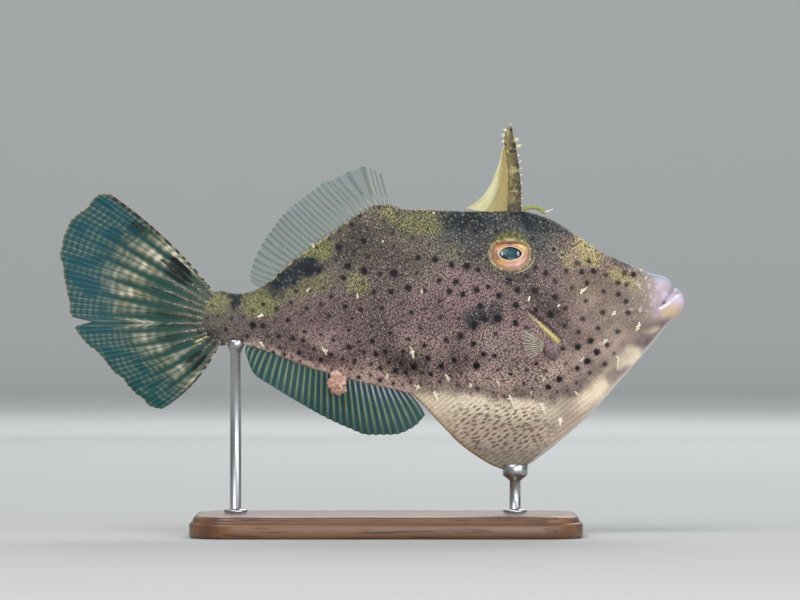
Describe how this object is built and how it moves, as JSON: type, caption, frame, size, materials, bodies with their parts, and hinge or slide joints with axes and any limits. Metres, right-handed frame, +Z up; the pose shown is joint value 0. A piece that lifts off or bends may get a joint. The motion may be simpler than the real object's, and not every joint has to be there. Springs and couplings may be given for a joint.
{
  "type": "strapweed filefish",
  "caption": "Life-size display model of a deep, thin filefish with an upright dorsal spine, a belly flap and a fan tail, on a low stand with two rods.",
  "frame": {"origin": "underside of the stand's base, at the middle of the whole model's length and width", "axes": "+X towards the snout, +Y towards the fish's left side, +Z up"},
  "size_m": [0.17, 0.054, 0.1127],
  "materials": {
    "skin": "matte painted cast, mottled brown with dark dots",
    "eye": "clear gloss",
    "fin": "translucent satin",
    "spine": "matte, mottled",
    "stand_wood": "dark satin varnish",
    "stand_steel": "brushed"
  },
  "bodies": {
    "root": {"head": "skin", "trunk": "skin", "tail_stalk": "skin", "belly_flap": "skin", "eye_right": "eye", "eye_left": "eye", "tail_fin": "fin", "dorsal_fin": "fin", "anal_fin": "fin", "pectoral_fin_right": "fin", "pectoral_fin_left": "fin", "dorsal_spine": "spine", "spine_membrane": "fin", "stand_base": "stand_wood", "stand_rod_front": "stand_steel", "stand_rod_rear": "stand_steel"}
  },
  "joints": []
}
